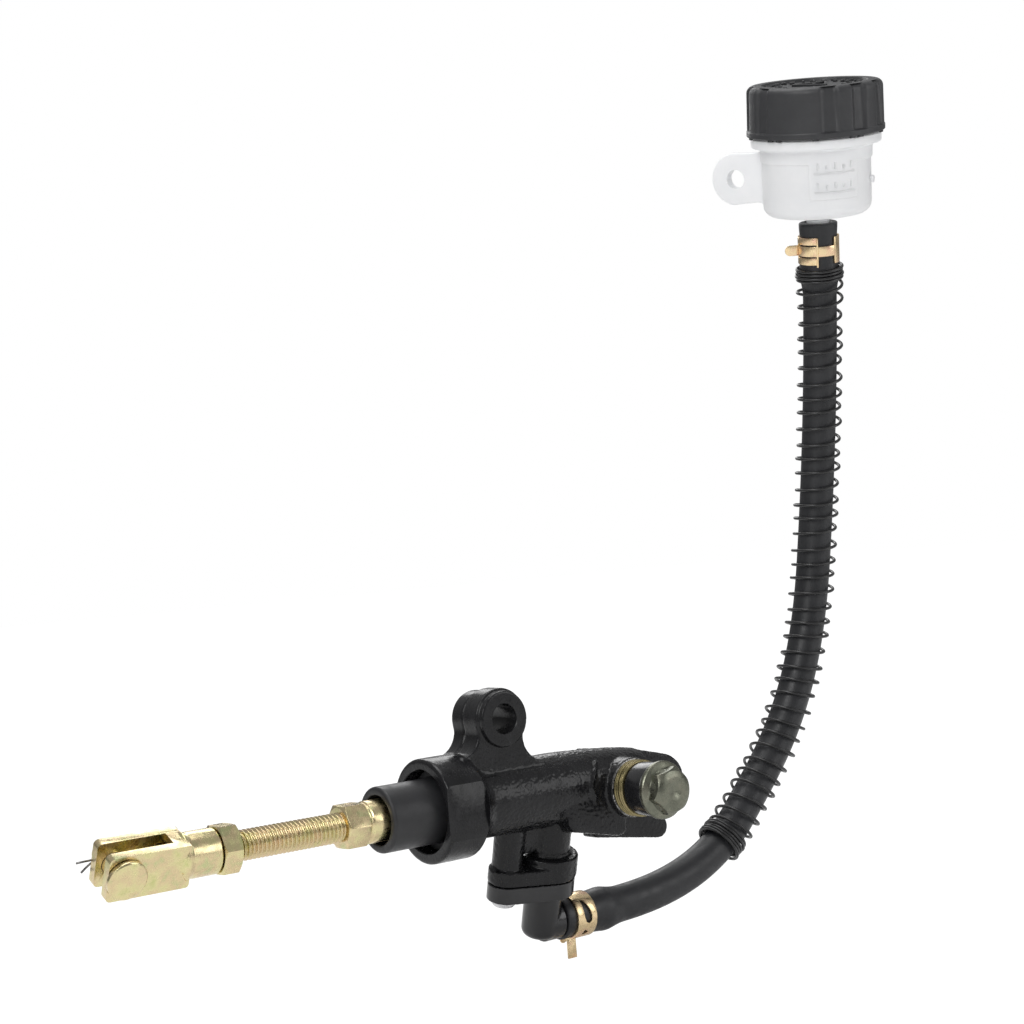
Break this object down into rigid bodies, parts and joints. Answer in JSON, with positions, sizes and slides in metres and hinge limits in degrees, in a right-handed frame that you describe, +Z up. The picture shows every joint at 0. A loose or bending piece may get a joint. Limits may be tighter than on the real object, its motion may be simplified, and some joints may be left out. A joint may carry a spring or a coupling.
{
  "type": "brake master cylinder",
  "caption": "Rear brake master cylinder with a push rod and clevis, side elbow inlet, and a remote fluid reservoir on a rubber hose wrapped in a wire guard.",
  "frame": {"origin": "centre of the front mounting eye, on the flat face that rests against the motorcycle frame", "axes": "+X along the bore from the open mouth to the closed end, +Y out of the frame-side face, +Z up from the bore to the eyes and the reservoir"},
  "size_m": [0.2773, 0.0636, 0.2681],
  "materials": {
    "casting": "semi-gloss black enamel over a sand-textured casting",
    "rubber": "satin black rubber",
    "zinc": "yellow zinc chromate",
    "olive": "olive zinc chromate",
    "brassy": "satin",
    "spring": "bright wire",
    "guard": "black wire",
    "gloss": "gloss black",
    "clamp": "pale yellow zinc",
    "white": "translucent white",
    "cap": "satin dark grey",
    "piston": "machined",
    "steel": "bright"
  },
  "bodies": {
    "cylinder": {"cylinder_body": "casting", "dust_boot": "rubber", "circlip": "steel", "rod_stop_washer": "steel", "return_spring": "spring", "banjo_bolt": "olive", "banjo_washer_inner": "brassy", "banjo_washer_outer": "brassy", "banjo_spacer": "rubber", "inlet_elbow": "gloss", "elbow_o_ring": "rubber", "elbow_screw": "steel", "hose": "rubber", "hose_guard_spring": "guard", "lower_hose_clamp": "clamp"},
    "piston": {"piston": "piston", "primary_cup": "rubber", "secondary_cup": "rubber"},
    "push_rod": {"push_rod": "zinc"},
    "lock_nut": {"clevis_lock_nut": "zinc"},
    "clevis": {"clevis": "zinc"},
    "clevis_pin": {"clevis_pin": "zinc", "cotter_pin": "steel"},
    "reservoir": {"reservoir": "white", "upper_hose_clamp": "clamp"},
    "diaphragm": {"diaphragm_plate": "white", "reservoir_diaphragm": "rubber"},
    "cap": {"reservoir_cap": "cap"}
  },
  "joints": [
    {"name": "piston_stroke", "type": "slide", "parent": "cylinder", "child": "piston", "axis": [1, 0, 0], "range_m": [0, 0.01], "stiffness_N_per_m": 1500, "deforming": ["return_spring"]},
    {"name": "rod_swing", "type": "hinge", "parent": "piston", "child": "push_rod", "pos_m": [-0.0074, -0.0072, -0.0168], "axis": [0, 1, 0], "range_deg": [-1.5, 1.5], "deforming": ["dust_boot"]},
    {"name": "nut_travel", "type": "slide", "parent": "push_rod", "child": "lock_nut", "axis": [1, 0, 0], "range_m": [-0.00375, 0.0025]},
    {"name": "clevis_turn", "type": "hinge", "parent": "lock_nut", "child": "clevis", "pos_m": [-0.1144, -0.0072, -0.0168], "axis": [1, 0, 0], "range_deg": [-1085, 725]},
    {"name": "pin_spin", "type": "hinge", "parent": "clevis", "child": "clevis_pin", "pos_m": [-0.1144, -0.0072, -0.0168], "axis": [0, -0.9063, -0.4226], "continuous": true},
    {"name": "hose_flex", "type": "hinge", "parent": "cylinder", "child": "reservoir", "pos_m": [0.1306, 0.0018, -0.0028], "axis": [0, 1, 0], "range_deg": [-12, 12], "stiffness_Nm_per_rad": 1, "deforming": ["hose", "hose_guard_spring"]},
    {"name": "cap_lift", "type": "slide", "parent": "reservoir", "child": "diaphragm", "axis": [-0.193, -0.2539, 0.9478], "range_m": [0, 0.0045]},
    {"name": "cap_turn", "type": "hinge", "parent": "diaphragm", "child": "cap", "pos_m": [0.1379, -0.0205, 0.1509], "axis": [-0.193, -0.2539, 0.9478], "range_deg": [-1, 541]}
  ],
  "couplings": [
    {"joint": "clevis_turn", "follows": "nut_travel", "rad_per_m": 5026.5},
    {"joint": "cap_turn", "follows": "cap_lift", "rad_per_m": 2094.4}
  ]
}
